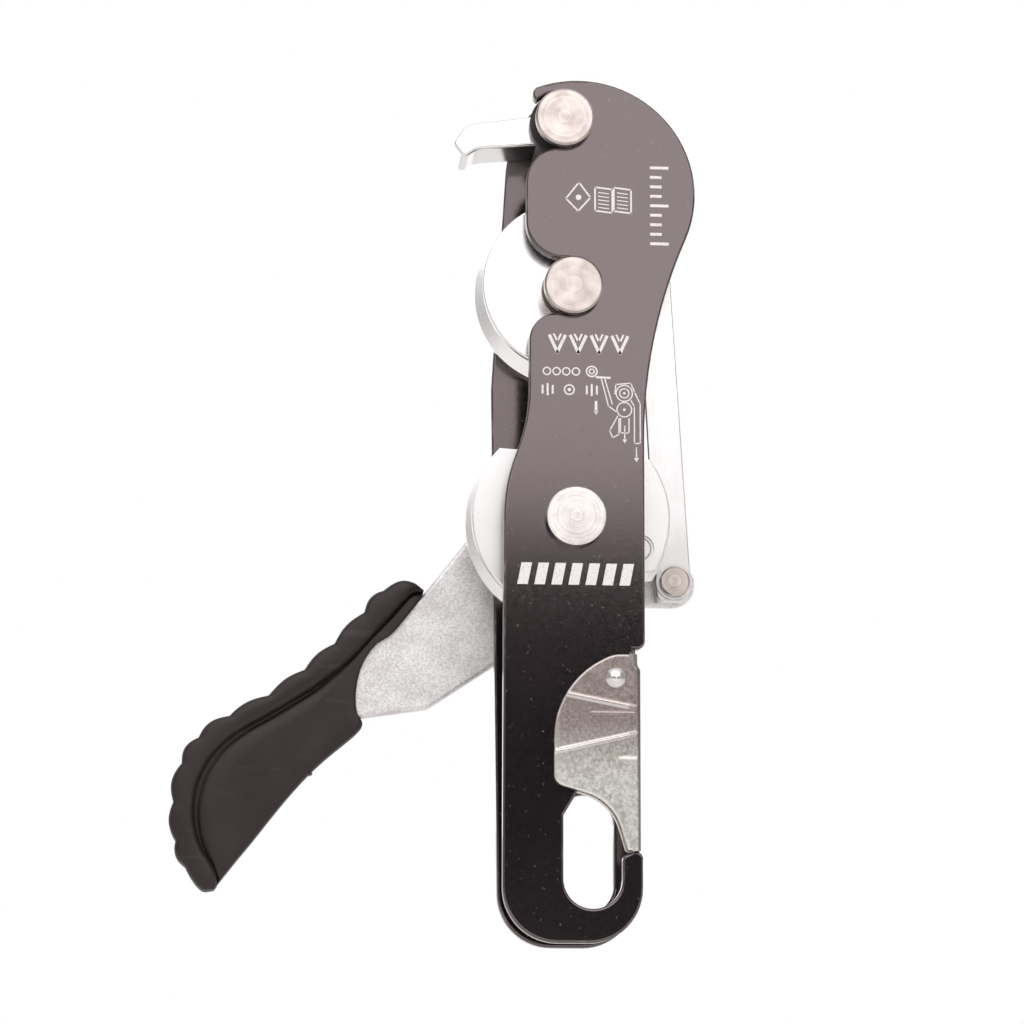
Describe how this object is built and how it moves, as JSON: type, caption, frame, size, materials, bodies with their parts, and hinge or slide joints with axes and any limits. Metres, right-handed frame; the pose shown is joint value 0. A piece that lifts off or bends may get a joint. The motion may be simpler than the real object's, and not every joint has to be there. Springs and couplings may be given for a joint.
{
  "type": "rope descender",
  "caption": "Self-braking rope descender: two side plates, a fixed bobbin, a braking cam on a squeeze handle, a brake horn, and a gated connector eye.",
  "frame": {"origin": "centre of the connector eye, half way between the side plates", "axes": "+Z from the connector eye to the head, +X towards the gate side, +Y from the opening front plate to the back plate"},
  "size_m": [0.1372, 0.0408, 0.2243],
  "materials": {
    "black_plate": "satin black anodised aluminium plate",
    "bobbin_alloy": "bright machined aluminium",
    "cam_alloy": "bright machined aluminium",
    "stud_steel": "turned stainless steel",
    "pin_steel": "turned steel",
    "rivet_steel": "bright domed steel",
    "dark_steel": "plain steel",
    "black_spacer": "black spacer ring",
    "zinc_steel": "zinc plated steel",
    "link_steel": "satin steel bar",
    "handle_steel": "bead blasted steel plate",
    "polished_steel": "polished stainless steel",
    "gate_steel": "stamped zinc plated sheet",
    "spring_steel": "spring wire",
    "bronze": "sintered bronze",
    "grip_plastic": "moulded black nylon"
  },
  "bodies": {
    "frame": {"back_plate": "black_plate", "upper_bobbin": "bobbin_alloy", "bobbin_stud": "stud_steel", "bobbin_dowel": "dark_steel", "lower_axle": "stud_steel", "axle_spacer": "dark_steel", "axle_washer": "zinc_steel", "handle_stop_pin": "dark_steel", "shaft_bush": "bronze", "return_spring": "spring_steel"},
    "handle": {"lower_cam": "cam_alloy", "cam_bush": "bronze", "drive_pin": "dark_steel", "handle_plate": "handle_steel", "handle_bush": "bronze", "grip": "grip_plastic", "link_lower_pin": "pin_steel", "link_washers": "zinc_steel"},
    "brake": {"brake_horn": "polished_steel", "horn_shaft": "stud_steel", "horn_spacer": "black_spacer", "rocker_arm": "zinc_steel", "shaft_nut": "zinc_steel", "link_upper_pin": "dark_steel"},
    "link": {"link_bar": "link_steel", "link_bush": "bronze"},
    "front_side": {"front_plate": "black_plate", "plate_bush": "bronze", "gate_rivet": "rivet_steel", "gate_spring": "spring_steel"},
    "spring_gate": {"gate": "gate_steel"}
  },
  "joints": [
    {"name": "handle_squeeze", "type": "hinge", "parent": "frame", "child": "handle", "pos_m": [-0.0045, 0, 0.084], "axis": [0, -1, 0], "range_deg": [0, 36], "stiffness_Nm_per_rad": 0.6, "springref_deg": -34.38},
    {"name": "brake_turn", "type": "hinge", "parent": "frame", "child": "brake", "pos_m": [-0.0075, 0, 0.1894], "axis": [0, -1, 0], "range_deg": [0, 40.7]},
    {"name": "link_swing", "type": "hinge", "parent": "handle", "child": "link", "pos_m": [0.0241, 0.015, 0.072], "axis": [0, -1, 0], "range_deg": [-36.1, 0]},
    {"name": "front_plate_swing", "type": "hinge", "parent": "frame", "child": "front_side", "pos_m": [-0.0045, 0, 0.084], "axis": [0, 1, 0], "range_deg": [0, 100]},
    {"name": "gate_swing", "type": "hinge", "parent": "front_side", "child": "spring_gate", "pos_m": [0.0056, -0.011, 0.0428], "axis": [0, 1, 0], "range_deg": [0, 23], "stiffness_Nm_per_rad": 0.02, "springref_deg": -34.38}
  ],
  "couplings": [
    {"joint": "brake_turn", "follows": "handle_squeeze", "ratio": 1.13},
    {"joint": "link_swing", "follows": "handle_squeeze", "ratio": -0.999}
  ]
}
